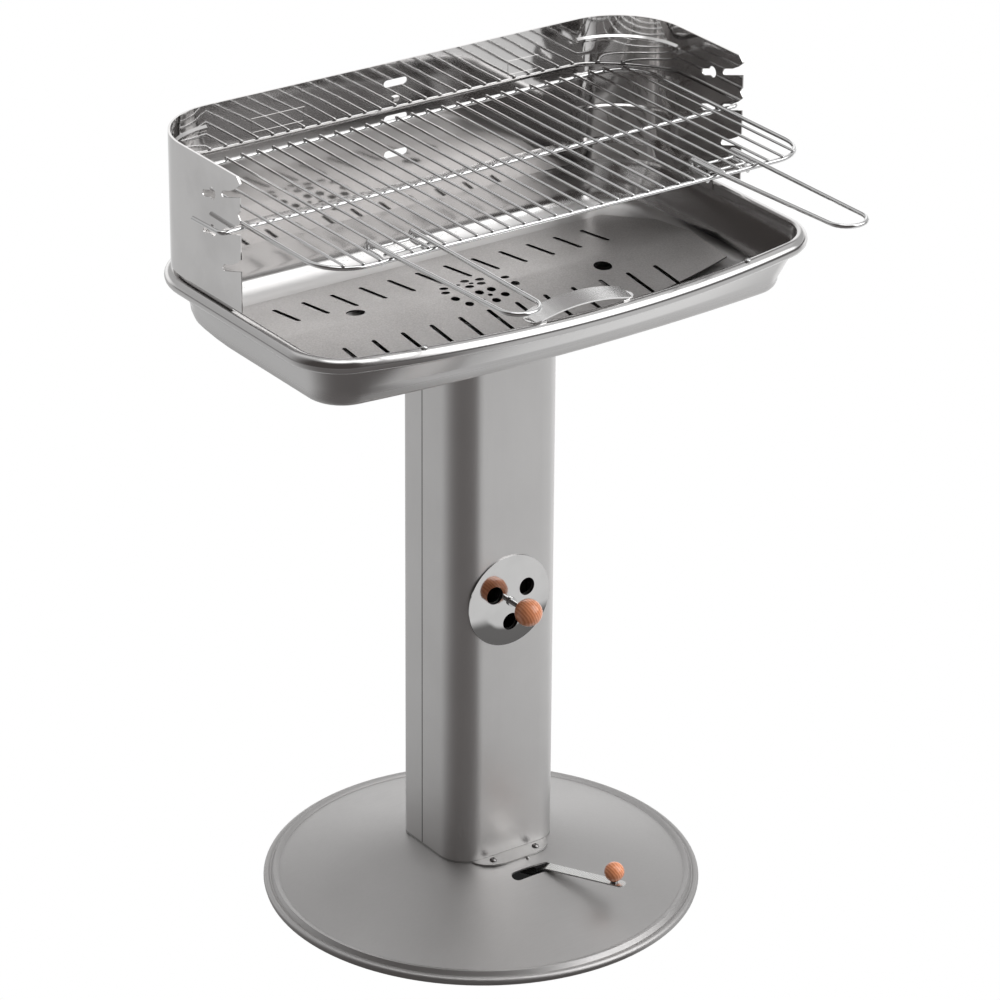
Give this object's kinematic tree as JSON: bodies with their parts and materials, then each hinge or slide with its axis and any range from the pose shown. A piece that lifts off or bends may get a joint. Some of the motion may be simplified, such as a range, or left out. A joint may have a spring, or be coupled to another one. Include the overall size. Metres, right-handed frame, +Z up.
{
  "type": "barbecue",
  "caption": "Free-standing charcoal barbecue: round cone foot, rounded column with a turning vent, wide bowed bowl, notched wind shield and wire grid with two handles.",
  "frame": {"origin": "on the floor, under the column's axis, at the centre of the round foot", "axes": "+Z up, +X to the right, the open front with the grid handles faces -Y"},
  "size_m": [0.657, 0.6111, 0.906],
  "materials": {
    "satin_steel": "satin",
    "plain_steel": "matte",
    "polished_steel": "polished",
    "bright_wire": "polished",
    "wood": "satin",
    "lever_steel": "satin",
    "ballast": "rough",
    "pad_rubber": "matte",
    "fasteners": "polished"
  },
  "bodies": {
    "stand": {"foot_disc": "satin_steel", "foot_plate": "satin_steel", "foot_screw_fl": "fasteners", "foot_screw_fr": "fasteners", "foot_screw_rl": "fasteners", "foot_screw_rr": "fasteners", "column_front": "satin_steel", "column_rear": "satin_steel", "column_top": "satin_steel", "bowl_bolt_fl": "fasteners", "bowl_bolt_fr": "fasteners", "bowl_bolt_rl": "fasteners", "bowl_bolt_rr": "fasteners", "pivot_bolt": "fasteners", "pivot_nut": "fasteners", "ballast_ring": "ballast", "pad_front": "pad_rubber", "pad_left": "pad_rubber", "pad_right": "pad_rubber", "ballast_stud_a": "fasteners", "ballast_stud_b": "fasteners", "ballast_stud_c": "fasteners", "fire_bowl": "satin_steel", "front_strap": "polished_steel", "rim_rivet_l": "fasteners", "rim_rivet_r": "fasteners", "wind_shield": "polished_steel", "shield_bolt_l": "fasteners", "shield_bolt_r": "fasteners"},
    "vent": {"vent_disc": "polished_steel", "vent_stem": "fasteners", "vent_ball": "wood", "vent_washer": "fasteners", "vent_spring": "fasteners", "vent_nut": "fasteners"},
    "lever": {"lever_arm": "lever_steel", "lever_ball": "wood", "lever_screw": "fasteners", "damper_disc": "plain_steel", "damper_hub": "plain_steel"},
    "grid": {"cooking_grid": "bright_wire", "grid_handle_l": "bright_wire", "grid_handle_r": "bright_wire"},
    "grate": {"charcoal_grate": "plain_steel"}
  },
  "joints": [
    {"name": "vent_turn", "type": "hinge", "parent": "stand", "child": "vent", "pos_m": [-0.004, -0.055, 0.3635], "axis": [0, -1, 0], "range_deg": [0, 60]},
    {"name": "lever_turn", "type": "hinge", "parent": "stand", "child": "lever", "pos_m": [0, 0, 0.05], "axis": [0, 0, 1], "range_deg": [-20, 0]},
    {"name": "grid_slide", "type": "slide", "parent": "stand", "child": "grid", "axis": [0, -0.9563, 0.2924], "range_m": [0, 0.05]},
    {"name": "grate_lift", "type": "slide", "parent": "stand", "child": "grate", "axis": [0, 0, 1], "range_m": [0, 0.05]}
  ]
}
